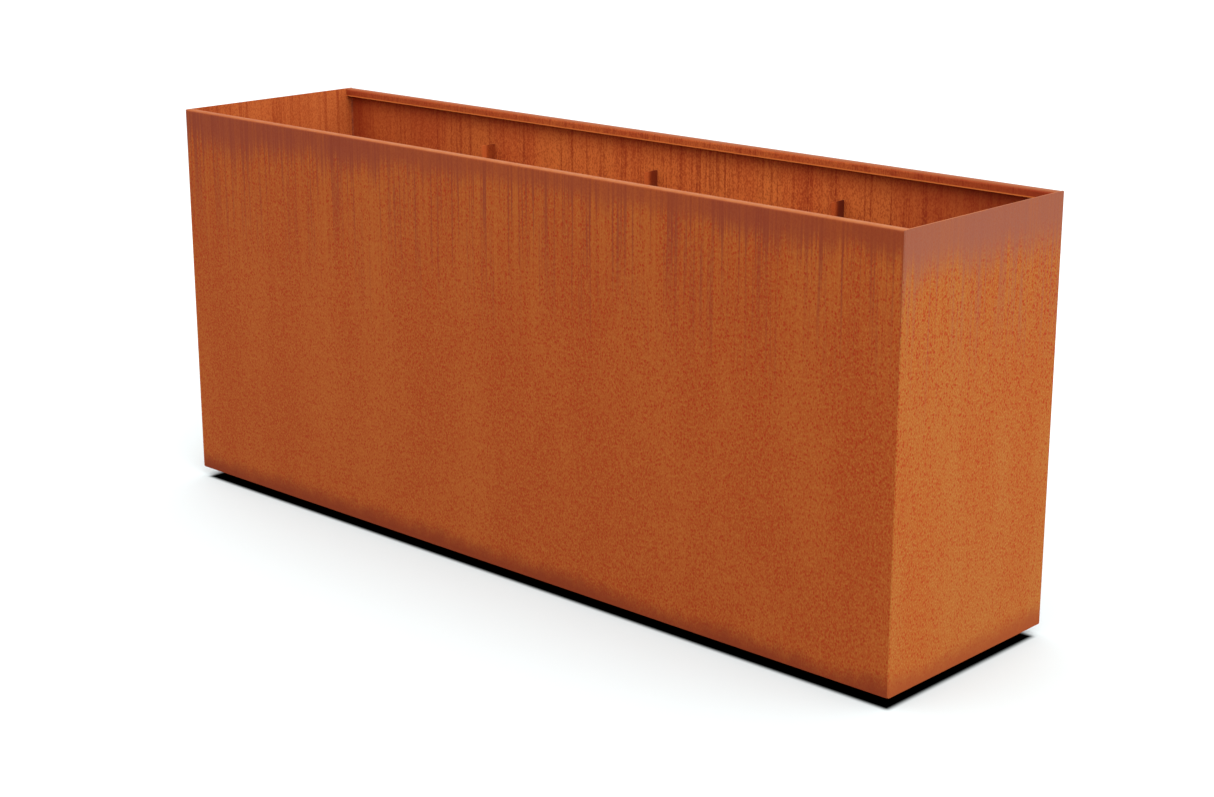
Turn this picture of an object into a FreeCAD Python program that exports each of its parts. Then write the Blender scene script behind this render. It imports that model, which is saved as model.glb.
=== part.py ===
"""A long weathering-steel planter box on levelling feet, as a parametric document in millimetres.

X runs along the planter, -Y is its front and Z is up. The origin is on the ground under its centre.
"""

import FreeCAD, Part
import Sketcher

import os
import re

# Driving dimensions, which the formulas below name.
DIMENSIONS = {
    "overall_length": 2000,  # over the outer faces of the end panels
    "overall_width": 494,  # over the outer faces of the long panels
    "wall_height": 851,  # from a panel's lower edge to its rim
    "ground_gap": 20,  # from the ground to a panel's lower edge
    "plate": 3,  # thickness of the panels, the tray, the bearers and the ribs
    "bend_radius": 6,  # outside of a fold
    "corner_radius": 2.5,  # of an end panel's corners
    "rim_width": 20,  # from a long panel's outer face to the inner face of its lip
    "rim_drop": 18,  # from the top of the rim to the lower edge of its lip
    "rib_width": 40,
    "rib_drop": 82,  # from the top of the rim to the top of a rib
    "rib_spacing": 500,
    "tray_rise": 46,  # from a panel's lower edge to the underside of the tray
    "tray_flange": 25,
    "drain_radius": 12.5,
    "drain_spacing_long": 500,
    "drain_spacing_cross": 220,
    "bearer_width": 70,
    "bearer_depth": 40,
    "bearer_end_gap": 4,  # from a bearer's end to the tray's flange
    "foot_spacing_long": 850,
    "foot_spacing_cross": 294,
    "stud_radius": 6,
    "stud_hole_radius": 7,
    "stud_reach": 38,  # from the top of the spanner hexagon to the top of the stud
    "thread_play": 0.05,  # from a stud to the bore of a nut on it
    "nut_flats": 18,
    "weld_nut_height": 10,
    "lock_nut_height": 6,
    "spanner_level": 12,  # from the ground to the spanner hexagon
    "spanner_height": 6,
    "spanner_flats": 15,
    "spigot_radius": 7,
    "spigot_play": 0.3,
    "socket_level": 3,  # from the ground to the floor of a pad's socket
    "pad_radius": 25,
    "pad_edge_height": 4,
    "pad_hub_radius": 12,
    "pad_height": 10,
}

# Heights above the ground, and other lengths that more than one piece needs.
TRAY_UNDERSIDE = "ground_gap + tray_rise"
TRAY_TOP = TRAY_UNDERSIDE + " + plate"
BEARER_UNDERSIDE = TRAY_UNDERSIDE + " - bearer_depth"
INNER_HALF_LENGTH = "overall_length / 2 - plate"
INNER_HALF_WIDTH = "overall_width / 2 - plate"

# The sides of the planter and the places along it, each with its sign along Y or X.
SIDES = {"front": -1, "back": 1}
ENDS = {"left": -1, "right": 1}
STATIONS = {"left": -1, "centre": 0, "right": 1}
DRAIN_STEPS = (-1.5, -0.5, 0.5, 1.5)
HEXAGON = 6

ALONG_X = FreeCAD.Vector(1, 0, 0)
ALONG_Y = FreeCAD.Vector(0, 1, 0)
UPRIGHT = FreeCAD.Vector(0, 0, 1)
CLOSE = 1e-6  # two lengths that differ by less are the same

doc = FreeCAD.newDocument("planter_box")
sheet = doc.addObject("Spreadsheet::Sheet", "Dimensions")
sub_parts = []


def fill_sheet():
    """Writes each driving dimension beside its name, which becomes its cell's alias."""
    for row, (alias, value) in enumerate(DIMENSIONS.items(), start=1):
        sheet.set(f"A{row}", alias)
        sheet.set(f"B{row}", str(value))
        sheet.setAlias(f"B{row}", alias)
    doc.recompute()


def bound(formula):
    """A formula in driving dimensions, as an expression that reads the sheet."""
    return re.sub(r"[a-z_]+", lambda name: "Dimensions." + name.group(), str(formula))


def size(formula):
    """The value of a formula in driving dimensions."""
    return float(sheet.evalExpression(bound(formula)))


def bind(thing, **formulas):
    """Binds properties of an object to formulas. x, y and z are the coordinates of its placement."""
    for name, formula in formulas.items():
        path = f".Placement.Base.{name}" if name in ("x", "y", "z") else name
        thing.setExpression(path, bound(formula))
    return thing


def keep(thing, label):
    """Marks a finished object as the sub-part of this name."""
    thing.Label = label
    sub_parts.append(thing)


def sketch_on(body, role, name):
    """An empty sketch on the origin plane of a body that has this role."""
    sketch = body.newObject("Sketcher::SketchObject", name)
    plane = next(feature for feature in body.Origin.OriginFeatures if feature.Role == role)
    sketch.AttachmentSupport = (plane, [""])
    sketch.MapMode = "FlatFace"
    return sketch


def hold(sketch, geometry, point, across, up):
    """Holds a point of a sketch's geometry at two bound distances from the sketch's origin."""
    for kind, formula in (("DistanceX", across), ("DistanceY", up)):
        constraint = Sketcher.Constraint(kind, -1, 1, geometry, point, size(formula))
        number = sketch.addConstraint(constraint)
        sketch.setExpression(f"Constraints[{number}]", bound(formula))


def polygon(body, role, name, corners):
    """A closed outline whose corners are pairs of formulas."""
    sketch = sketch_on(body, role, name)
    places = [FreeCAD.Vector(size(across), size(up), 0) for across, up in corners]
    for number, place in enumerate(places):
        sketch.addGeometry(Part.LineSegment(places[number - 1], place))
    for number, (across, up) in enumerate(corners):
        following = (number + 1) % len(corners)
        sketch.addConstraint(Sketcher.Constraint("Coincident", number, 2, following, 1))
        hold(sketch, number, 2, across, up)
    return sketch


def rectangle(body, role, name, half_across, half_up):
    """A rectangle about the origin of its sketch."""
    signs = ((-1, -1), (1, -1), (1, 1), (-1, 1))
    corners = [(f"{a} * ({half_across})", f"{b} * ({half_up})") for a, b in signs]
    return polygon(body, role, name, corners)


def circles(body, role, name, centres, radius):
    """Equal circles whose centres are pairs of formulas."""
    sketch = sketch_on(body, role, name)
    for number, (across, up) in enumerate(centres):
        centre = FreeCAD.Vector(size(across), size(up), 0)
        sketch.addGeometry(Part.Circle(centre, UPRIGHT, size(radius)))
        hold(sketch, number, 3, across, up)
        held = sketch.addConstraint(Sketcher.Constraint("Radius", number, size(radius)))
        sketch.setExpression(f"Constraints[{held}]", bound(radius))
    return sketch


def pad(body, sketch, length, symmetric=False):
    """Extrudes a sketch, to both sides of its plane where it is symmetric."""
    feature = body.newObject("PartDesign::Pad", sketch.Name + "_pad")
    feature.Profile = sketch
    feature.SideType = "Symmetric" if symmetric else "One side"
    bind(feature, Length=length)
    doc.recompute()
    return feature


def pocket(body, sketch, length, expected):
    """Cuts a sketch upwards into a body, and makes sure of the volume that it takes away."""
    before = body.Shape.Volume
    feature = body.newObject("PartDesign::Pocket", sketch.Name + "_pocket")
    feature.Profile = sketch
    feature.Reversed = True
    bind(feature, Length=length)
    doc.recompute()
    taken = before - body.Shape.Volume
    if abs(taken - expected) > CLOSE * expected:
        raise RuntimeError(f"{feature.Name} took {taken:.1f} mm3 and not {expected:.1f}")
    return feature


def round_edges(body, base, direction, places, radius):
    """Rounds the straight edges that run along a direction through these places."""
    edges = []
    for number, edge in enumerate(base.Shape.Edges, start=1):
        start = edge.Vertexes[0].Point
        run = edge.Vertexes[-1].Point - start
        if run.cross(direction).Length > CLOSE:
            continue
        if any((place - start).cross(direction).Length < CLOSE for place in places):
            edges.append(f"Edge{number}")
    feature = body.newObject("PartDesign::Fillet", f"{body.Name}_round")
    feature.Base = (base, edges)
    bind(feature, Radius=radius)
    doc.recompute()
    return feature


def fold_section(body, base, direction, corners, outer, inner):
    """Bends a section at its outer and inner corners, keeping the sheet's thickness round each bend."""
    level = direction.cross(UPRIGHT)
    level = FreeCAD.Vector(abs(level.x), abs(level.y), 0)
    places = [level * size(across) + UPRIGHT * size(up) for across, up in corners]
    outer_places = [places[number] for number in outer]
    inner_places = [places[number] for number in inner]
    outside = round_edges(body, base, direction, outer_places, "bend_radius")
    round_edges(body, outside, direction, inner_places, "bend_radius - plate")


def make_long_panel(side):
    """One folded sheet: a wall, a rim turned inwards and a lip turned down from it."""
    body = doc.addObject("PartDesign::Body", side + "_panel")
    corners = [
        ("0", "0"),
        ("0", "wall_height"),
        ("rim_width", "wall_height"),
        ("rim_width", "wall_height - rim_drop"),
        ("rim_width - plate", "wall_height - rim_drop"),
        ("rim_width - plate", "wall_height - plate"),
        ("plate", "wall_height - plate"),
        ("plate", "0"),
    ]
    section = polygon(body, "YZ_Plane", side + "_panel_section", corners)
    blank = pad(body, section, f"2 * ({INNER_HALF_LENGTH})", symmetric=True)
    fold_section(body, blank, ALONG_X, corners, outer=(1, 2), inner=(5, 6))
    if side == "back":
        body.Placement.Rotation = FreeCAD.Rotation(UPRIGHT, 180)
    bind(body, y=f"{SIDES[side]} * overall_width / 2", z="ground_gap")
    keep(body, side + "_panel")


def make_end_panel(end):
    """A flat plate across the whole width, which covers the ends of the long panels."""
    body = doc.addObject("PartDesign::Body", end + "_end_panel")
    half_width, half_height = "overall_width / 2", "wall_height / 2"
    face = rectangle(body, "YZ_Plane", end + "_end_outline", half_width, half_height)
    blank = pad(body, face, "plate", symmetric=True)
    reach = ALONG_Y * size(half_width), UPRIGHT * size(half_height)
    corners = [reach[0] * a + reach[1] * b for a in (-1, 1) for b in (-1, 1)]
    round_edges(body, blank, ALONG_X, corners, "corner_radius")
    across = f"{ENDS[end]} * (overall_length - plate) / 2"
    bind(body, x=across, z="ground_gap + wall_height / 2")
    keep(body, end + "_end_panel")


def make_tray():
    """The floor that carries the soil: a plate with four edges turned down, and its drain holes."""
    body = doc.addObject("PartDesign::Body", "base_tray")
    half_length, half_width = INNER_HALF_LENGTH, INNER_HALF_WIDTH
    outline = rectangle(body, "XY_Plane", "tray_outline", half_length, half_width)
    pad(body, outline, "tray_flange")
    inside = f"({half_length} - plate)", f"({half_width} - plate)"
    hollow = rectangle(body, "XY_Plane", "tray_hollow", *inside)
    hollow_volume = size(f"4 * {inside[0]} * {inside[1]} * (tray_flange - plate)")
    under = pocket(body, hollow, "tray_flange - plate", hollow_volume)
    top = UPRIGHT * size("tray_flange")
    end_edges = [top + ALONG_X * size(f"{sign} * ({half_length})") for sign in (-1, 1)]
    side_edges = [top + ALONG_Y * size(f"{sign} * ({half_width})") for sign in (-1, 1)]
    folded = round_edges(body, under, ALONG_Y, end_edges, "bend_radius - plate")
    round_edges(body, folded, ALONG_X, side_edges, "bend_radius - plate")
    centres = [
        (f"{step} * drain_spacing_long", f"{sign} * drain_spacing_cross / 2")
        for step in DRAIN_STEPS
        for sign in SIDES.values()
    ]
    drains = circles(body, "XY_Plane", "drain_circles", centres, "drain_radius")
    hole = Part.makeCylinder(size("drain_radius"), size("plate"))
    pocket(body, drains, "tray_flange", len(centres) * hole.Volume)
    bind(body, z=f"{TRAY_TOP} - tray_flange")
    keep(body, "base_tray")


def make_bearer(station):
    """A channel under the tray from front to back, open at its top, with two holes for the studs."""
    body = doc.addObject("PartDesign::Body", "bearer_" + station)
    half = "bearer_width / 2"
    corners = [
        (f"-{half}", "0"),
        (half, "0"),
        (half, "bearer_depth"),
        (f"{half} - plate", "bearer_depth"),
        (f"{half} - plate", "plate"),
        (f"plate - {half}", "plate"),
        (f"plate - {half}", "bearer_depth"),
        (f"-{half}", "bearer_depth"),
    ]
    section = polygon(body, "XZ_Plane", f"bearer_{station}_section", corners)
    length = f"2 * ({INNER_HALF_WIDTH} - plate - bearer_end_gap)"
    blank = pad(body, section, length, symmetric=True)
    fold_section(body, blank, ALONG_Y, corners, outer=(0, 1), inner=(4, 5))
    centres = [("0", f"{sign} * foot_spacing_cross / 2") for sign in SIDES.values()]
    holes = circles(body, "XY_Plane", f"bearer_{station}_holes", centres, "stud_hole_radius")
    hole = Part.makeCylinder(size("stud_hole_radius"), size("plate"))
    pocket(body, holes, "plate", len(centres) * hole.Volume)
    bind(body, x=f"{STATIONS[station]} * foot_spacing_long", z=BEARER_UNDERSIDE)
    keep(body, "bearer_" + station)


def make_rib(side, station):
    """An upright flat bar on edge against a long panel, from the tray to below the rim."""
    rib = doc.addObject("Part::Box", f"rib_{side}_{station}")
    bind(
        rib,
        Length="plate",
        Width="rib_width",
        Height=f"ground_gap + wall_height - rib_drop - ({TRAY_TOP})",
        x=f"{STATIONS[station]} * rib_spacing - plate / 2",
        y=f"-({INNER_HALF_WIDTH})" if side == "front" else f"{INNER_HALF_WIDTH} - rib_width",
        z=TRAY_TOP,
    )
    keep(rib, rib.Name)


def foot_places():
    """Each foot's name, with the formulas of its axis in X and Y."""
    for side, cross in SIDES.items():
        for station, along in STATIONS.items():
            name = f"{side}_{station}"
            yield name, f"{along} * foot_spacing_long", f"{cross} * foot_spacing_cross / 2"


def cylinder(name, x, y, level, radius, height):
    """An upright cylinder."""
    solid = doc.addObject("Part::Cylinder", name)
    return bind(solid, Radius=radius, Height=height, x=x, y=y, z=level)


def hexagon(name, x, y, level, flats, height):
    """An upright hexagonal bar, sized across its flats."""
    solid = doc.addObject("Part::Prism", name)
    solid.Polygon = HEXAGON
    solid.setExpression("Circumradius", f"{bound(flats)} / 2 / cos(180 deg / {HEXAGON})")
    return bind(solid, Height=height, x=x, y=y, z=level)


def cut(name, base, tool):
    """One solid less another."""
    solid = doc.addObject("Part::Cut", name)
    solid.Base = base
    solid.Tool = tool
    return solid


def fuse(name, solids):
    """Several solids joined into one."""
    joined = doc.addObject("Part::MultiFuse", name)
    joined.Shapes = solids
    joined.Refine = True
    return joined


def make_nuts(label, level, height):
    """A nut of this height at this level on every stud, all of them in one sub-part."""
    nuts = []
    for foot, x, y in foot_places():
        name = f"{label}_{foot}"
        blank = hexagon(name + "_blank", x, y, level, "nut_flats", height)
        bore = cylinder(name + "_bore", x, y, level, "stud_radius + thread_play", height)
        nuts.append(cut(name, blank, bore))
    group = doc.addObject("Part::Compound", label)
    group.Links = nuts
    keep(group, label)


def make_stud(foot, x, y):
    """A threaded stud with a hexagon for a spanner and a spigot that turns in the pad."""
    name = "foot_stud_" + foot
    spigot_height = "spanner_level - socket_level"
    shank_height = "spanner_height + stud_reach"
    stud = fuse(
        name,
        [
            cylinder(name + "_spigot", x, y, "socket_level", "spigot_radius", spigot_height),
            hexagon(name + "_spanner", x, y, "spanner_level", "spanner_flats", "spanner_height"),
            cylinder(name + "_shank", x, y, "spanner_level", "stud_radius", shank_height),
        ],
    )
    keep(stud, name)


def make_pad(foot, x, y):
    """A round pad that stands on the ground, with a conical top and a socket for the stud."""
    name = "foot_pad_" + foot
    disc = cylinder(name + "_disc", x, y, "0", "pad_radius", "pad_edge_height")
    cone = doc.addObject("Part::Cone", name + "_cone")
    bind(
        cone,
        Radius1="pad_radius",
        Radius2="pad_hub_radius",
        Height="pad_height - pad_edge_height",
        x=x,
        y=y,
        z="pad_edge_height",
    )
    socket_radius = "spigot_radius + spigot_play"
    socket = cylinder(name + "_socket", x, y, "socket_level", socket_radius, "pad_height")
    keep(cut(name, fuse(name + "_blank", [disc, cone]), socket), name)


def check_document():
    """Stops if any object failed to build, or any sub-part has no sound shape."""
    for thing in doc.Objects:
        if "Invalid" in thing.State or "Error" in thing.State:
            raise RuntimeError(f"{thing.Name} failed: {thing.State}")
    for part in sub_parts:
        if part.Shape.isNull() or not part.Shape.isValid():
            raise RuntimeError(f"{part.Label} has no valid shape")


def export():
    """Writes one STEP file for each sub-part."""
    os.makedirs("parts", exist_ok=True)
    for part in sub_parts:
        part.Shape.exportStep(f"parts/{part.Label}.step")
        box = part.Shape.BoundBox
        sides = " x ".join(f"{side:.1f}" for side in (box.XLength, box.YLength, box.ZLength))
        print(f"{part.Label}: {len(part.Shape.Solids)} solids, {sides} mm, from {box.ZMin:.1f} up")


fill_sheet()
for side in SIDES:
    make_long_panel(side)
for end in ENDS:
    make_end_panel(end)
make_tray()
for side in SIDES:
    for station in STATIONS:
        make_rib(side, station)
for station in STATIONS:
    make_bearer(station)
make_nuts("weld_nuts", f"{BEARER_UNDERSIDE} + plate", "weld_nut_height")
make_nuts("lock_nuts", f"{BEARER_UNDERSIDE} - lock_nut_height", "lock_nut_height")
for foot, x, y in foot_places():
    make_stud(foot, x, y)
    make_pad(foot, x, y)
doc.recompute()
check_document()
export()
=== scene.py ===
"""Looks of a weathering-steel planter box: rusted sheet, welds, threaded studs and moulded pads."""

import math
import random

import bmesh
import bpy
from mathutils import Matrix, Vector


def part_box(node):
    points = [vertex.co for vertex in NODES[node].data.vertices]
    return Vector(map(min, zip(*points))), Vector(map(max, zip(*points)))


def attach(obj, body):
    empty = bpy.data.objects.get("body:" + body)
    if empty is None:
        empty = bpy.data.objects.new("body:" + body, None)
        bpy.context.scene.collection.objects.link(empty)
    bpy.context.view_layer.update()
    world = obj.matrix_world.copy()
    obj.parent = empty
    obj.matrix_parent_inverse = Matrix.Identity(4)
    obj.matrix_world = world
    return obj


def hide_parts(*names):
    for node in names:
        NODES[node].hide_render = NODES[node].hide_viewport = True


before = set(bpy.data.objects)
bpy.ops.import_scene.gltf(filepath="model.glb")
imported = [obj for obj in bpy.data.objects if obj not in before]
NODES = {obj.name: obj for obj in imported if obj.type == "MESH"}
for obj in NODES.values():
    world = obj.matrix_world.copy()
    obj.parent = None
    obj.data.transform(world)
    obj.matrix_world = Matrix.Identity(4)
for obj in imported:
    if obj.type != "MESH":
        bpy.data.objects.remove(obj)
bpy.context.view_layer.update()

# Lengths in metres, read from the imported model.
END_LOW, END_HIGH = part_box("right_end_panel")
TRAY_LOW, TRAY_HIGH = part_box("base_tray")
HALF_LENGTH = END_HIGH.x
HALF_WIDTH = END_HIGH.y
PLATE = END_HIGH.x - END_LOW.x
RIM = END_HIGH.z
LOWER_EDGE = END_LOW.z

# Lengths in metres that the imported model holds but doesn't state.
LIP_DROP = 0.018  # from the top of the rim to the lower edge of its lip
STUD_RADIUS = 0.006
THREAD_PITCH = 0.00175
BORE_RADIUS = 0.00605
SPIGOT_RADIUS = 0.007
SPANNER_LEVELS = (0.012, 0.018)
SPANNER_FLATS = 0.015
NUT_FLATS = 0.018
SOCKET_RADIUS = 0.0073
SOCKET_LEVEL = 0.003

# Lengths in metres of what is only modelled here.
SEAM_LEG = 0.003  # the reach of a continuous weld, and of a tack, over each face
STITCH_LEG = 0.0035  # the reach of a short weld over each face
RIPPLE = 0.004  # from one ripple of a weld bead to the next
RIPPLE_STEPS = 4  # sections of bead to each ripple
THREAD_DEPTH = 0.00107
CHAMFER = 0.0006
CHAMFER_SLOPE = math.tan(math.radians(30))  # on the corners of hexagons
BEAD_ROOT = 0.0004  # how far a weld's root lies past the corner, along each face
THREAD_ROOT = 0.0002  # how far a thread starts below the top of the hexagon under it
PAD_RIB = 0.0006  # how far the pad's ribs rise from its sunk ring
END_EDGE = 0.0006  # the width of the broken edges of the end panels
PLATE_EDGE = 0.0005  # and of all other plates

FEET = sorted(name.removeprefix("foot_pad_") for name in NODES if name.startswith("foot_pad"))


# ------------------------------------------------------------------------------------------ colours


def srgb(red, green, blue):
    """A colour given as it looks on a screen, in the linear values that a shader takes."""

    def linear(value):
        share = value / 255
        return share / 12.92 if share <= 0.04045 else ((share + 0.055) / 1.055) ** 2.4

    return (linear(red), linear(green), linear(blue), 1.0)


# How much light reaches an upright outer face from the stage, where 1 is a white sky all round.
SIDE_LIGHT = 1.42


def pigment(red, green, blue):
    """The pigment that looks like this on an upright face in the stage's light."""
    return tuple(value / SIDE_LIGHT for value in srgb(red, green, blue)[:3]) + (1.0,)


# ------------------------------------------------------------------------------------ node building


class Shader:
    """A material's node tree, with short calls for the nodes that the materials here use."""

    def __init__(self, name):
        self.material = bpy.data.materials.new(name)
        self.material.use_nodes = True
        self.tree = self.material.node_tree
        self.tree.nodes.clear()
        self.output = self.node("ShaderNodeOutputMaterial")
        self.surface = self.node("ShaderNodeBsdfPrincipled")
        self.link(self.surface.outputs["BSDF"], self.output.inputs["Surface"])
        self.place = self.node("ShaderNodeTexCoord").outputs["Object"]

    def node(self, kind):
        return self.tree.nodes.new(kind)

    def link(self, source, target):
        self.tree.links.new(source, target)

    def feed(self, target, value):
        """Sets a socket to a number or colour, or links an output to it."""
        if isinstance(value, bpy.types.NodeSocket):
            self.link(value, target)
        else:
            target.default_value = value

    def math(self, operation, first, second=0.0, third=0.0):
        node = self.node("ShaderNodeMath")
        node.operation = operation
        for socket, value in zip(node.inputs, (first, second, third)):
            self.feed(socket, value)
        return node.outputs[0]

    def ramp(self, value, low, high, to_low=0.0, to_high=1.0):
        """A smooth step: to_low at low, to_high at high."""
        node = self.node("ShaderNodeMapRange")
        node.interpolation_type = "SMOOTHSTEP"
        names = ("Value", "From Min", "From Max", "To Min", "To Max")
        for name, number in zip(names, (value, low, high, to_low, to_high)):
            self.feed(node.inputs[name], number)
        return node.outputs["Result"]

    def axes(self):
        """The three coordinates of the shaded point."""
        node = self.node("ShaderNodeSeparateXYZ")
        self.link(self.place, node.inputs[0])
        return node.outputs

    def stretched(self, across, upright, shift=(0.0, 0.0, 0.0)):
        """The shaded point's place with its level and upright axes scaled apart."""
        node = self.node("ShaderNodeMapping")
        self.link(self.place, node.inputs["Vector"])
        node.inputs["Scale"].default_value = (across, across, upright)
        node.inputs["Location"].default_value = shift
        return node.outputs["Vector"]

    def noise(self, scale, detail=2.0, roughness=0.5, place=None):
        node = self.node("ShaderNodeTexNoise")
        self.link(place or self.place, node.inputs["Vector"])
        node.inputs["Scale"].default_value = scale
        node.inputs["Detail"].default_value = detail
        node.inputs["Roughness"].default_value = roughness
        return node.outputs["Fac"]

    def dots(self, scale, place):
        """Distance to the nearest of some scattered points, and a random value for that point."""
        node = self.node("ShaderNodeTexVoronoi")
        self.link(place, node.inputs["Vector"])
        node.inputs["Scale"].default_value = scale
        parts = self.node("ShaderNodeSeparateColor")
        self.link(node.outputs["Color"], parts.inputs[0])
        return node.outputs["Distance"], parts.outputs[0]

    def blend(self, share, under, over):
        """One colour laid over another: a share of 0 shows the colour under, 1 the colour over."""
        node = self.node("ShaderNodeMix")
        node.data_type = "RGBA"
        # A mix node's sockets for colours are 6 and 7, and its output for a colour is 2.
        self.feed(node.inputs[0], share)
        self.feed(node.inputs[6], under)
        self.feed(node.inputs[7], over)
        return node.outputs[2]

    def bump(self, height, distance, strength):
        node = self.node("ShaderNodeBump")
        self.feed(node.inputs["Height"], height)
        node.inputs["Distance"].default_value = distance
        node.inputs["Strength"].default_value = strength
        return node.outputs["Normal"]


# ---------------------------------------------------------------------------------------- materials


def weathered_steel(name, colours, patina_depth, raggedness, lipped):
    """Rusted weathering steel.

    The rust runs between a light and a deep colour in soft clouds, under fine flecks. A coat of
    denser patina lies along the rim, and rain has drawn it down into streaks. A thinner coat lies
    along the lower edge, with painted shade there too. The faces inside the box are more streaked,
    and their colours are painted lighter than the outside's to make up for the shade inside.

    Raggedness is how strongly rain has streaked the panel. Lipped is true for the long panels,
    whose rims are folded into a lip.
    """
    pigments = {part: pigment(*colour) for part, colour in colours.items()}
    bright, light, deep = pigments["bright"], pigments["light"], pigments["deep"]
    fleck, patina, dark = pigments["fleck"], pigments["patina"], pigments["dark"]
    inside_light, inside_deep = pigments["inside_light"], pigments["inside_deep"]
    inside_fleck_and_shade = pigments["inside_fleck_and_shade"]
    s = Shader(name)
    x, y, z = s.axes()
    below_rim = s.math("SUBTRACT", RIM, z)
    above_edge = s.math("SUBTRACT", z, LOWER_EDGE)

    # 1 on the outer faces and the top of the rim, 0 inside.
    past_side = s.math("GREATER_THAN", s.math("ABSOLUTE", y), HALF_WIDTH - PLATE / 2)
    past_end = s.math("GREATER_THAN", s.math("ABSOLUTE", x), HALF_LENGTH - PLATE / 2)
    outside = s.math("MAXIMUM", past_side, past_end)

    clouds = s.noise(7.0, detail=2.0, roughness=0.6, place=s.stretched(1.0, 0.45))
    bands = s.noise(9.0, detail=2.0, roughness=0.5, place=s.stretched(1.0, 0.12))
    patches = s.noise(36.0, detail=3.0, roughness=0.6, place=s.stretched(1.0, 0.8))
    grain = s.noise(420.0, detail=1.0, roughness=0.5, place=s.stretched(1.0, 0.55))
    spot, spot_kind = s.dots(180.0, s.stretched(1.0, 0.7))
    broad = s.noise(24.0, detail=2.0, roughness=0.5, place=s.stretched(1.0, 0.05))
    streaks = s.noise(150.0, detail=4.0, roughness=0.7, place=s.stretched(1.0, 0.014))
    drift = s.noise(3.0, detail=2.0, roughness=0.5, place=s.stretched(1.0, 0.3, (3.0, 7.0, 0.0)))

    # How far down the rain streaks show, in metres.
    reach = s.math("MULTIPLY_ADD", broad, 0.7, s.math("MULTIPLY", drift, 0.2))
    streaked = s.ramp(below_rim, 0.0, reach, 1.0, 0.0)
    run = s.math("MULTIPLY_ADD", s.math("SUBTRACT", broad, 0.5), 0.4, streaks)
    # Some stretches of the panels are streaked more than others.
    stretch = s.noise(6.0, detail=1.0, place=s.stretched(1.0, 0.1, (5.0, 2.0, 0.0)))
    stretch = s.ramp(stretch, 0.38, 0.62, 0.4, 1.0)
    streaked = s.math("MULTIPLY", streaked, s.math("MULTIPLY_ADD", stretch, 0.5, 0.5))

    tone = s.math("MULTIPLY_ADD", clouds, 0.4, s.math("MULTIPLY", bands, 0.4))
    tone = s.math("MULTIPLY_ADD", patches, 0.2, tone)
    tone = s.ramp(tone, 0.38, 0.62)
    rust = s.blend(tone, light, deep)
    rust = s.blend(s.ramp(grain, 0.5, 0.3, 0.0, 0.7), rust, bright)
    rust = s.blend(s.ramp(grain, 0.45, 0.7, 0.0, 0.5), rust, fleck)
    # Red flecks stand closer together in the deeper clouds.
    rare = s.math("MULTIPLY_ADD", tone, -0.6, 0.36)
    chosen = s.math("GREATER_THAN", spot_kind, rare)
    fleck_share = s.math("MULTIPLY", s.ramp(spot, 0.15, 0.48, 1.0, 0.0), chosen)
    fleck_share = s.math("MULTIPLY", fleck_share, s.ramp(below_rim, 0.2, 0.6, 1.0, 0.8))
    rust = s.blend(fleck_share, rust, fleck)
    light_streak = s.ramp(run, 0.51, 0.67, 0.0, 0.75 * raggedness)
    washed = s.blend(0.4, light, bright)
    rust = s.blend(s.math("MULTIPLY", light_streak, streaked), rust, washed)
    dark_streak = s.ramp(run, 0.5, 0.35, 0.0, raggedness)
    rust = s.blend(s.math("MULTIPLY", dark_streak, streaked), rust, patina)

    # The patina's depth below the rim, in metres: it wanders, and streaks run down from it.
    wander = s.math("SUBTRACT", drift, 0.5)
    depth = s.math("MULTIPLY_ADD", wander, 0.15 * raggedness**3, patina_depth)
    depth = s.math("MULTIPLY_ADD", s.math("SUBTRACT", broad, 0.5), 0.09 * raggedness, depth)
    depth = s.math("MULTIPLY_ADD", s.math("SUBTRACT", 0.5, streaks), 0.12 * raggedness, depth)
    if lipped:
        # On the long panels it is deeper towards the right end.
        depth = s.math("ADD", depth, s.ramp(x, 0.6, 1.0, 0.0, 0.014))
    depth = s.math("MAXIMUM", depth, 0.035)
    band = s.ramp(s.math("DIVIDE", below_rim, depth), 0.45, 1.6, 1.0, 0.0)
    veil = s.math("MULTIPLY", s.ramp(run, 0.38, 0.66, 0.0, 0.6 * raggedness**2), stretch)
    coat = s.blend(veil, patina, deep)
    coat = s.blend(s.ramp(drift, 0.55, 0.35, 0.0, 0.35 * raggedness**2), coat, deep)
    coat = s.blend(s.ramp(run, 0.5, 0.34, 0.0, 0.3 * raggedness**2), coat, dark)
    coat = s.blend(s.ramp(grain, 0.42, 0.7, 0.0, 0.4), coat, dark)
    if lipped:
        # It is darker there too.
        coat = s.blend(s.ramp(x, 0.6, 1.0, 0.0, 0.4), coat, dark)
    rust = s.blend(s.math("MULTIPLY", band, 0.95), rust, coat)

    # The height above the lower edge of the thinner coat, and of the painted shade near the floor, in
    # metres.
    height = s.math("MULTIPLY_ADD", wander, 0.05, 0.018)
    height = s.math("MULTIPLY_ADD", s.math("SUBTRACT", patches, 0.5), 0.03, height)
    lower_coat_and_shade = s.ramp(s.math("SUBTRACT", above_edge, height), -0.018, 0.034, 0.95, 0.0)
    rust = s.blend(lower_coat_and_shade, rust, dark)

    # The inside colours are painted lighter than the outside's, to make up for the shade inside the
    # box.
    within = s.blend(s.ramp(bands, 0.35, 0.65), inside_light, inside_deep)
    within = s.blend(s.ramp(run, 0.5, 0.34, 0.0, 0.7), within, inside_fleck_and_shade)
    within = s.blend(s.ramp(run, 0.52, 0.66, 0.0, 0.6), within, inside_light)
    within = s.blend(s.ramp(grain, 0.5, 0.3, 0.0, 0.5), within, inside_light)
    within = s.blend(s.ramp(grain, 0.42, 0.7, 0.0, 0.55), within, inside_fleck_and_shade)
    if lipped:
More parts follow.
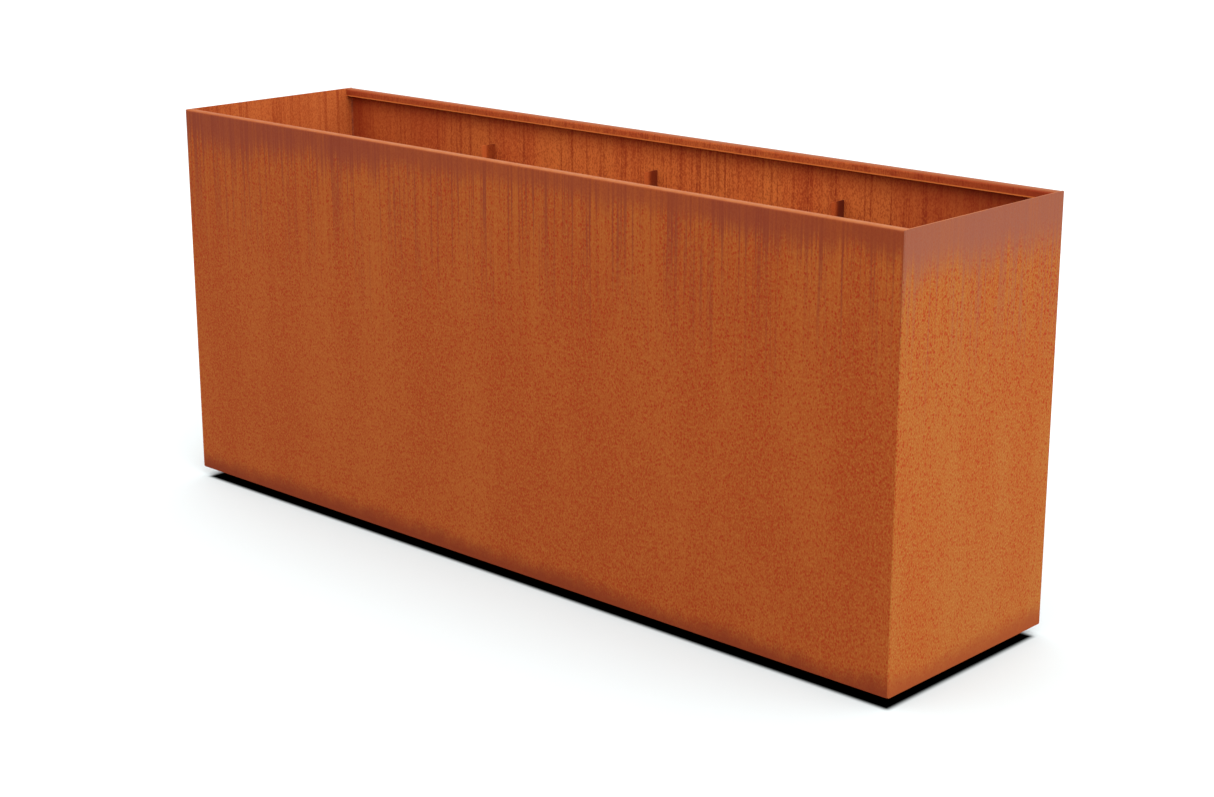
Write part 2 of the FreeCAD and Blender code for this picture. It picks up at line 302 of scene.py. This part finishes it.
        # The long walls get painted shade in the corners, towards both ends and under the lip, and a
        # painted highlight along the lip's lower edge.
        corner = s.math("SUBTRACT", HALF_LENGTH, s.math("ABSOLUTE", x))
        within = s.blend(s.ramp(corner, 0.0, 0.12, 0.45, 0.0), within, inside_fleck_and_shade)
        within = s.blend(s.ramp(x, 0.4, 1.0, 0.0, 0.75), within, inside_fleck_and_shade)
        within = s.blend(s.ramp(x, -0.9, -0.1, 0.38, 0.0), within, inside_fleck_and_shade)
        # Painted shadow under the lip.
        lip_shadow = s.ramp(below_rim, LIP_DROP, LIP_DROP + 0.06, 0.45, 0.0)
        within = s.blend(lip_shadow, within, inside_fleck_and_shade)
        # A painted highlight along the lip's lower edge.
        edge = s.math("ABSOLUTE", s.math("SUBTRACT", below_rim, LIP_DROP))
        within = s.blend(s.ramp(edge, 0.001, 0.0035, 0.9, 0.0), within, inside_light)
    colour = s.blend(outside, within, rust)

    # The rim's upward faces take the rim colours, which hold its patina and painted light on its top
    # faces.
    facing = s.node("ShaderNodeSeparateXYZ")
    s.link(s.node("ShaderNodeNewGeometry").outputs["Normal"], facing.inputs[0])
    upward = s.ramp(facing.outputs[2], 0.3, 0.9)
    on_rim = s.math("MULTIPLY", upward, s.math("GREATER_THAN", z, RIM - 0.004))
    rim = s.blend(s.math("GREATER_THAN", y, 0.0), pigments["front_rim"], pigments["back_rim"])
    rim = s.blend(s.ramp(patches, 0.35, 0.7, 0.0, 0.35), rim, deep)
    # The rim is duller towards the left end.
    rim = s.blend(s.ramp(x, -1.0, 0.0, 0.35, 0.0), rim, deep)
    colour = s.blend(on_rim, colour, rim)
    s.link(colour, s.surface.inputs["Base Color"])

    rough = s.math("MULTIPLY_ADD", band, -0.15, 0.75)
    s.link(rough, s.surface.inputs["Roughness"])
    s.surface.inputs["Specular IOR Level"].default_value = 0.06
    relief = s.math("MULTIPLY_ADD", spot, -0.3, grain)
    s.link(s.bump(relief, 0.0004, 0.4), s.surface.inputs["Normal"])
    return s.material


def inner_steel(name):
    """Rusted steel of the ribs, the tray and the bearers, with painted shade beside the long walls
    and painted light at the ribs' free edges.
    """
    s = Shader(name)
    x, y = s.axes()[:2]
    patches = s.noise(30.0, detail=3.0, roughness=0.6, place=s.stretched(1.0, 0.5))
    grain = s.noise(330.0, detail=2.0, roughness=0.6)
    tint = s.blend(s.ramp(patches, 0.35, 0.65), pigment(206, 96, 40), pigment(190, 80, 32))
    tint = s.blend(s.ramp(grain, 0.4, 0.7, 0.0, 0.6), tint, pigment(140, 48, 14))
    # Painted shade in the nooks by the long walls, deeper towards the right end.
    nook = s.math("SUBTRACT", HALF_WIDTH - PLATE, s.math("ABSOLUTE", y))
    painted_wall_shade = s.math("MULTIPLY", s.ramp(nook, 0.015, 0.032, 0.95, 0.0), s.ramp(x, -0.7, 0.5, 0.4, 1.0))
    # Painted light 20 to 60 mm from these walls, where the ribs' free edges are, more of it on the
    # left.
    painted_rib_edge_light = s.math("MULTIPLY", s.ramp(nook, 0.02, 0.032), s.ramp(nook, 0.055, 0.06, 1.0, 0.0))
    painted_rib_edge_light = s.math("MULTIPLY", painted_rib_edge_light, s.ramp(x, -0.6, 0.6, 0.65, 0.3))
    tint = s.blend(painted_rib_edge_light, tint, pigment(238, 126, 64))
    tint = s.blend(painted_wall_shade, tint, pigment(108, 40, 22))
    s.link(tint, s.surface.inputs["Base Color"])
    s.surface.inputs["Roughness"].default_value = 0.75
    s.surface.inputs["Specular IOR Level"].default_value = 0.06
    s.link(s.bump(grain, 0.0004, 0.4), s.surface.inputs["Normal"])
    return s.material


def weld_metal(name):
    """Weld beads, rusted darker than the plates, with orange dust in patches."""
    s = Shader(name)
    dust = s.noise(60.0, detail=3.0, roughness=0.6)
    grain = s.noise(700.0, detail=2.0)
    tint = s.blend(s.ramp(dust, 0.35, 0.65), pigment(150, 64, 32), pigment(196, 92, 44))
    tint = s.blend(s.ramp(grain, 0.4, 0.7, 0.0, 0.4), tint, pigment(112, 44, 22))
    s.link(tint, s.surface.inputs["Base Color"])
    s.surface.inputs["Roughness"].default_value = 0.62
    s.surface.inputs["Specular IOR Level"].default_value = 0.2
    s.link(s.bump(grain, 0.0002, 0.4), s.surface.inputs["Normal"])
    return s.material


def zinc_plate(name, colour):
    """Dull zinc plate on small steel fittings."""
    s = Shader(name)
    spots = s.noise(900.0, detail=2.0)
    cloud = s.noise(120.0, detail=2.0)
    tint = s.blend(s.ramp(cloud, 0.3, 0.7, 0.0, 0.5), colour, srgb(150, 146, 132))
    s.link(tint, s.surface.inputs["Base Color"])
    s.surface.inputs["Metallic"].default_value = 1.0
    s.link(s.ramp(spots, 0.3, 0.7, 0.35, 0.55), s.surface.inputs["Roughness"])
    s.link(s.bump(spots, 0.0001, 0.3), s.surface.inputs["Normal"])
    return s.material


def moulded_plastic(name):
    """Black polyamide with a fine moulded grain."""
    s = Shader(name)
    grain = s.noise(1500.0, detail=1.0)
    dust = s.noise(60.0, detail=3.0)
    tint = s.blend(s.ramp(dust, 0.4, 0.75, 0.0, 0.3), srgb(30, 30, 32), srgb(84, 70, 60))
    s.link(tint, s.surface.inputs["Base Color"])
    s.link(s.ramp(dust, 0.3, 0.7, 0.5, 0.7), s.surface.inputs["Roughness"])
    s.link(s.bump(grain, 0.0001, 0.4), s.surface.inputs["Normal"])
    return s.material


# The colours that the steel shows in the stage's light.
# The rims' colours hold their patina and painted light on their top faces.
RIMS = {"front_rim": (179, 107, 63), "back_rim": (161, 92, 57)}
LONG_STEEL = weathered_steel(
    "weathered_long_panel",
    {
        "bright": (178, 102, 42),
        "light": (170, 86, 33),
        "deep": (164, 77, 28),
        "fleck": (160, 48, 16),
        "patina": (136, 58, 36),
        "dark": (131, 52, 25),
        # The inside colours are painted lighter than the outside's, to make up for the shade inside.
        "inside_light": (238, 131, 61),
        "inside_deep": (218, 104, 49),
        "inside_fleck_and_shade": (158, 56, 28),
        **RIMS,
    },
    patina_depth=0.056,
    raggedness=1.0,
    lipped=True,
)
END_STEEL = weathered_steel(
    "weathered_end_panel",
    {
        "bright": (189, 128, 60),
        "light": (183, 109, 46),
        "deep": (182, 98, 37),
        "fleck": (174, 51, 17),
        "patina": (152, 91, 77),
        "dark": (163, 77, 36),
        # The inside colours are painted lighter than the outside's, to make up for the shade inside.
        "inside_light": (218, 117, 58),
        "inside_deep": (203, 101, 48),
        "inside_fleck_and_shade": (168, 66, 31),
        **RIMS,
    },
    patina_depth=0.086,
    raggedness=0.7,
    lipped=False,
)
INNER_STEEL = inner_steel("weathered_inner_steel")
WELD = weld_metal("weld_metal")
ZINC = zinc_plate("zinc_plate", srgb(178, 178, 176))
PLASTIC = moulded_plastic("moulded_plastic")


# ------------------------------------------------------------------------------------------- plates


def dress(node, material, edge):
    """Gives a CAD node its material, and edges broken by this width as handling and rust do."""
    plate = NODES[node]
    plate.data.materials.clear()
    plate.data.materials.append(material)
    bevel = plate.modifiers.new("broken_edges", "BEVEL")
    bevel.width = edge
    bevel.segments = 2
    bevel.limit_method = "ANGLE"
    bevel.angle_limit = math.radians(50)


for node in NODES:
    if node.endswith("end_panel"):
        dress(node, END_STEEL, END_EDGE)
    elif node.endswith("_panel"):
        dress(node, LONG_STEEL, PLATE_EDGE)
    elif node.startswith(("rib_", "bearer_", "base_tray")):
        dress(node, INNER_STEEL, PLATE_EDGE)


# ------------------------------------------------------------------------------------- small pieces


def add_piece(name, shape, material, body, stands_for=()):
    """Makes an object of a shape drawn in its place, puts it on a body, and hides the nodes that it
    stands for.
    """
    bmesh.ops.recalc_face_normals(shape, faces=shape.faces)
    mesh = bpy.data.meshes.new(name)
    shape.to_mesh(mesh)
    shape.free()
    mesh.materials.append(material)
    mesh.shade_smooth()
    mesh.set_sharp_from_angle(angle=math.radians(38))
    piece = bpy.data.objects.new(name, mesh)
    bpy.context.scene.collection.objects.link(piece)
    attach(piece, body)
    if stands_for:
        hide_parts(*stands_for)


def skin(shape, loops, closed=False):
    """Joins loops of points into a skin, and caps its ends unless the loops run in a circle."""
    pairs = list(zip(loops, loops[1:]))
    if closed:
        pairs.append((loops[-1], loops[0]))
    for near, far in pairs:
        for step in range(len(near)):
            after = (step + 1) % len(near)
            shape.faces.new((near[step], near[after], far[after], far[step]))
    if not closed:
        shape.faces.new(loops[0])
        shape.faces.new(loops[-1])


def turn(shape, centre, rings, closed=False, sides=48):
    """Turns a form round an upright axis.

    A ring is a radius and a level, or a function that gives both at an angle.
    """
    loops = []
    for ring in rings:
        loop = []
        for step in range(sides):
            angle = 2 * math.pi * step / sides
            radius, level = ring(angle) if callable(ring) else ring
            across = Vector((math.cos(angle), math.sin(angle), 0.0)) * radius
            loop.append(shape.verts.new(Vector((centre.x, centre.y, level)) + across))
        loops.append(loop)
    skin(shape, loops, closed)


def hexagon_ends(flats, low, high):
    """The rings of a hexagon's outside, with the chamfers that bolts and nuts have at both ends."""
    inner = flats / 2 * 0.96

    def edge(level, towards):
        def ring(angle):
            radius = flats / 2 / math.cos(angle % (math.pi / 3) - math.pi / 6)
            return radius, level + towards * (radius - inner) * CHAMFER_SLOPE

        return ring

    return [(inner, low), edge(low, 1), edge(high, -1), (inner, high)]


def add_thread(shape, centre, low, high, radius):
    """A screw thread with a chamfered upper end."""
    core = radius - THREAD_DEPTH
    profile = ((0.0, radius), (0.125, radius), (0.44, core), (0.69, core))
    sides = 24
    turns = math.ceil((high - low) / THREAD_PITCH) + 2
    columns = []
    for side in range(sides):
        angle = 2 * math.pi * side / sides
        column = []
        for step in range(turns):
            for share, crest in profile:
                level = low + THREAD_PITCH * (step - 1 + share + side / sides)
                reach = crest if low < level < high else core
                reach = min(reach, core + max(high - level, 0.0))
                level = min(max(level, low), high)
                across = (reach * math.cos(angle), reach * math.sin(angle))
                place = (centre.x + across[0], centre.y + across[1], level)
                column.append(shape.verts.new(place))
        columns.append(column)
    for side in range(sides):
        near = columns[side]
        far = columns[(side + 1) % sides]
        if side == sides - 1:
            far = far[len(profile):]
        for step in range(min(len(near), len(far)) - 1):
            shape.faces.new((near[step], far[step], far[step + 1], near[step + 1]))
    bmesh.ops.remove_doubles(shape, verts=shape.verts, dist=1e-6)
    ends = [edge for edge in shape.edges if edge.is_boundary]
    bmesh.ops.holes_fill(shape, edges=ends, sides=0)


def add_bead(shape, start, end, first, second, leg, chance):
    """A rippled weld along the corner of two faces, where first and second lead away from it."""
    run = end - start
    steps = max(4, round(run.length / RIPPLE * RIPPLE_STEPS))
    # It swells by 8 % at each ripple and by up to 5 % at random, tapers to a third at its ends, and
    # its face is hollow.
    loops = []
    for step in range(steps + 1):
        travel = run.length * step / steps
        ripple = 1 + 0.08 * math.sin(2 * math.pi * travel / RIPPLE) + chance.uniform(-0.05, 0.05)
        taper = min(1.0, 0.35 + min(travel, run.length - travel) / leg)
        place = start + run * (step / steps)
        loop = [shape.verts.new(place - (first + second) * BEAD_ROOT)]
        for share in (0.0, 0.25, 0.5, 0.75, 1.0):
            angle = share * math.pi / 2
            reach = leg * ripple * taper * (1 - 0.18 * math.sin(2 * angle))
            towards = first * math.cos(angle) + second * math.sin(angle)
            loop.append(shape.verts.new(place + towards * reach))
        loops.append(loop)
    skin(shape, loops)


def stitches(low, high, count, length):
    """The ends of several short welds spread evenly from low to high."""
    for step in range(count):
        middle = low + (high - low) * (step + 0.5) / count
        yield middle - length / 2, middle + length / 2


def make_corner_welds():
    """The seams up the four inside corners, above and below the tray."""
    shape = bmesh.new()
    chance = random.Random(11)
    for along in (-1, 1):
        for across in (-1, 1):
            for low, high in ((LOWER_EDGE + 0.004, TRAY_LOW.z), (TRAY_HIGH.z, RIM - LIP_DROP)):
                bottom = Vector((along * (HALF_LENGTH - PLATE), across * (HALF_WIDTH - PLATE), low))
                top = Vector((bottom.x, bottom.y, high))
                inward = Vector((-along, 0, 0))
                add_bead(shape, bottom, top, inward, Vector((0, -across, 0)), SEAM_LEG, chance)
    add_piece("corner_welds", shape, WELD, "box")


def make_rib_welds():
    """Short welds up both sides of each rib."""
    shape = bmesh.new()
    chance = random.Random(12)
    for node in sorted(NODES):
        if node.startswith("rib_"):
            low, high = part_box(node)
            across = 1 if low.y > 0 else -1
            wall = across * (HALF_WIDTH - PLATE)
            for near, far in stitches(low.z, high.z, 5, 0.04):
                for face, outward in ((low.x, -1), (high.x, 1)):
                    bottom = Vector((face, wall, near))
                    top = Vector((face, wall, far))
                    side = Vector((outward, 0, 0))
                    add_bead(shape, bottom, top, side, Vector((0, -across, 0)), STITCH_LEG, chance)
    add_piece("rib_welds", shape, WELD, "box")


def make_tray_welds():
    """Short welds round the top of the tray."""
    shape = bmesh.new()
    chance = random.Random(13)
    up = Vector((0, 0, 1))
    level = TRAY_HIGH.z
    for across in (-1, 1):
        wall = across * (HALF_WIDTH - PLATE)
        for near, far in stitches(TRAY_LOW.x, TRAY_HIGH.x, 8, 0.05):
            start = Vector((near, wall, level))
            end = Vector((far, wall, level))
            add_bead(shape, start, end, Vector((0, -across, 0)), up, STITCH_LEG, chance)
    for along in (-1, 1):
        wall = along * (HALF_LENGTH - PLATE)
        for near, far in stitches(TRAY_LOW.y, TRAY_HIGH.y, 2, 0.05):
            start = Vector((wall, near, level))
            end = Vector((wall, far, level))
            add_bead(shape, start, end, Vector((-along, 0, 0)), up, STITCH_LEG, chance)
    add_piece("tray_welds", shape, WELD, "box")


def make_bearer_welds():
    """Short welds between the bearers and the underside of the tray."""
    shape = bmesh.new()
    chance = random.Random(14)
    down = Vector((0, 0, -1))
    for station in ("left", "centre", "right"):
        low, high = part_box("bearer_" + station)
        for near, far in stitches(low.y, high.y, 4, 0.04):
            for face, outward in ((low.x, -1), (high.x, 1)):
                start = Vector((face, near, high.z))
                end = Vector((face, far, high.z))
                add_bead(shape, start, end, Vector((outward, 0, 0)), down, STITCH_LEG, chance)
    add_piece("bearer_welds", shape, WELD, "box")


def foot_centre(foot):
    low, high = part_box("foot_pad_" + foot)
    return (low + high) / 2


def make_nuts(node):
    """Chamfered hexagonal nuts in place of the plain ones."""
    low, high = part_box(node)
    shape = bmesh.new()
    for foot in FEET:
        outside = hexagon_ends(NUT_FLATS, low.z, high.z)
        mouth = BORE_RADIUS + CHAMFER
        bore = [(mouth, high.z), (BORE_RADIUS, high.z - CHAMFER)]
        bore += [(BORE_RADIUS, low.z + CHAMFER), (mouth, low.z)]
        turn(shape, foot_centre(foot), outside + bore, closed=True)
    add_piece("chamfered_" + node, shape, ZINC, "box", stands_for=[node])


def make_nut_welds():
    """Three tacks round each welded nut, on the flats."""
    shape = bmesh.new()
    chance = random.Random(15)
    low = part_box("weld_nuts")[0]
    up = Vector((0, 0, 1))
    for foot in FEET:
        centre = foot_centre(foot)
        for third in range(3):
            angle = math.radians(30 + 120 * third)
            outward = Vector((math.cos(angle), math.sin(angle), 0))
            along = Vector((-outward.y, outward.x, 0)) * SEAM_LEG
            place = Vector((centre.x, centre.y, low.z)) + outward * NUT_FLATS / 2
            add_bead(shape, place - along, place + along, outward, up, SEAM_LEG, chance)
    add_piece("nut_welds", shape, WELD, "box")


def make_stud(foot):
    """A threaded stud with a spanner hexagon and a spigot that turns in the pad."""
    node = "foot_stud_" + foot
    low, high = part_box(node)
    centre = foot_centre(foot)
    shape = bmesh.new()
    spigot = [(SPIGOT_RADIUS - CHAMFER, low.z), (SPIGOT_RADIUS, low.z + CHAMFER)]
    spigot += [(SPIGOT_RADIUS, SPANNER_LEVELS[0])]
    turn(shape, centre, spigot + hexagon_ends(SPANNER_FLATS, *SPANNER_LEVELS))
    add_thread(shape, centre, SPANNER_LEVELS[1] - THREAD_ROOT, high.z, STUD_RADIUS)
    add_piece("threaded_stud_" + foot, shape, ZINC, "stud_" + foot, [node])


def make_pad(foot):
    """A moulded pad: a flat foot with a rounded rim, and a cone with a sunk ring and eight ribs."""
    node = "foot_pad_" + foot
    low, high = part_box(node)
    radius = (high.x - low.x) / 2
    sides = 96

    def sunk(reach, level):
        def ring(angle):
            rib = round(angle / (2 * math.pi) * sides) % (sides // 8) < 2
            return reach, level + (PAD_RIB if rib else 0.0)

        return ring

    rings = [(radius - 0.0008, 0.0), (radius, 0.0008), (radius, 0.0034), (radius - 0.0006, 0.004)]
    rings += [(radius - 0.0017, 0.0046), sunk(radius - 0.0026, 0.0044), sunk(0.0150, 0.0079)]
    rings += [(0.0138, 0.0090), (0.0122, 0.0098), (0.0116, high.z), (0.0080, high.z)]
    rings += [(SOCKET_RADIUS, high.z - 0.0007), (SOCKET_RADIUS, SOCKET_LEVEL)]
    shape = bmesh.new()
    turn(shape, foot_centre(foot), rings, sides=sides)
    add_piece("moulded_pad_" + foot, shape, PLASTIC, "pad_" + foot, [node])


make_corner_welds()
make_rib_welds()
make_tray_welds()
make_bearer_welds()
make_nuts("weld_nuts")
make_nuts("lock_nuts")
make_nut_welds()
for foot in FEET:
    make_stud(foot)
    make_pad(foot)


# -------------------------------------------------------------------------------------------- stage


def make_stage():
    """A pale floor with a painted shadow where the box stands over it, a soft sky and a light on the
    right.
    """
    bpy.ops.mesh.primitive_plane_add(size=120)
    floor = bpy.context.object
    floor.name = "floor"
    s = Shader("pale_floor")
    x, y = s.axes()[:2]
    # The painted shadow lies a little to the right of the box and in front of it.
    along = s.math("ABSOLUTE", s.math("SUBTRACT", x, 0.012))
    along = s.ramp(along, HALF_LENGTH - 0.018, HALF_LENGTH - 0.002, 1.0, 0.0)
    across = s.math("ABSOLUTE", s.math("ADD", y, 0.012))
    across = s.ramp(across, HALF_WIDTH - 0.016, HALF_WIDTH, 1.0, 0.0)
    under = s.math("MULTIPLY", along, across)
    # A little blue makes up for the warm light that the box throws on the floor.
    pale = (0.489, 0.530, 0.536, 1.0)
    s.link(s.blend(under, pale, (0.0, 0.0, 0.0, 1.0)), s.surface.inputs["Base Color"])
    # The floor glows evenly, but not in the painted shadow.
    glow = s.math("MULTIPLY_ADD", under, -0.16, 0.16)
    s.surface.inputs["Roughness"].default_value = 0.9
    s.surface.inputs["Specular IOR Level"].default_value = 0.0
    s.surface.inputs["Emission Color"].default_value = (1.0, 1.0, 1.0, 1.0)
    s.link(glow, s.surface.inputs["Emission Strength"])
    floor.data.materials.append(s.material)

    # A white sky that grows brighter overhead.
    world = bpy.data.worlds.new("soft_sky")
    bpy.context.scene.world = world
    world.use_nodes = True
    tree = world.node_tree
    direction = tree.nodes.new("ShaderNodeTexCoord")
    parts = tree.nodes.new("ShaderNodeSeparateXYZ")
    rise = tree.nodes.new("ShaderNodeMapRange")
    rise.interpolation_type = "SMOOTHSTEP"
    sky = tree.nodes["Background"]
    tree.links.new(direction.outputs["Generated"], parts.inputs[0])
    tree.links.new(parts.outputs[2], rise.inputs["Value"])
    tree.links.new(rise.outputs["Result"], sky.inputs["Strength"])
    rise.inputs["From Min"].default_value = 0.2
    rise.inputs["From Max"].default_value = 0.95
    rise.inputs["To Min"].default_value = 1.0
    rise.inputs["To Max"].default_value = 2.4
    sky.inputs["Color"].default_value = (1.0, 1.0, 1.0, 1.0)

    data = bpy.data.lights.new("right_light", "SUN")
    data.energy = 1.2
    data.angle = math.radians(40)
    lamp = bpy.data.objects.new("right_light", data)
    bpy.context.scene.collection.objects.link(lamp)
    towards = Vector((-0.8, 0.3, -0.6))
    lamp.rotation_euler = towards.to_track_quat("-Z", "Y").to_euler()


def make_camera():
    """The camera, above the box at its front right corner."""
    data = bpy.data.cameras.new("camera")
    data.sensor_width = 36.0
    data.lens = 65.17
    camera = bpy.data.objects.new("camera", data)
    bpy.context.scene.collection.objects.link(camera)
    camera.location = (3.1095, -3.2329, 1.6116)
    camera.rotation_euler = (math.radians(90 - 15.94), 0.0, math.radians(43.12))
    bpy.context.scene.camera = camera


make_stage()
make_camera()
bpy.context.scene.view_settings.view_transform = "Standard"
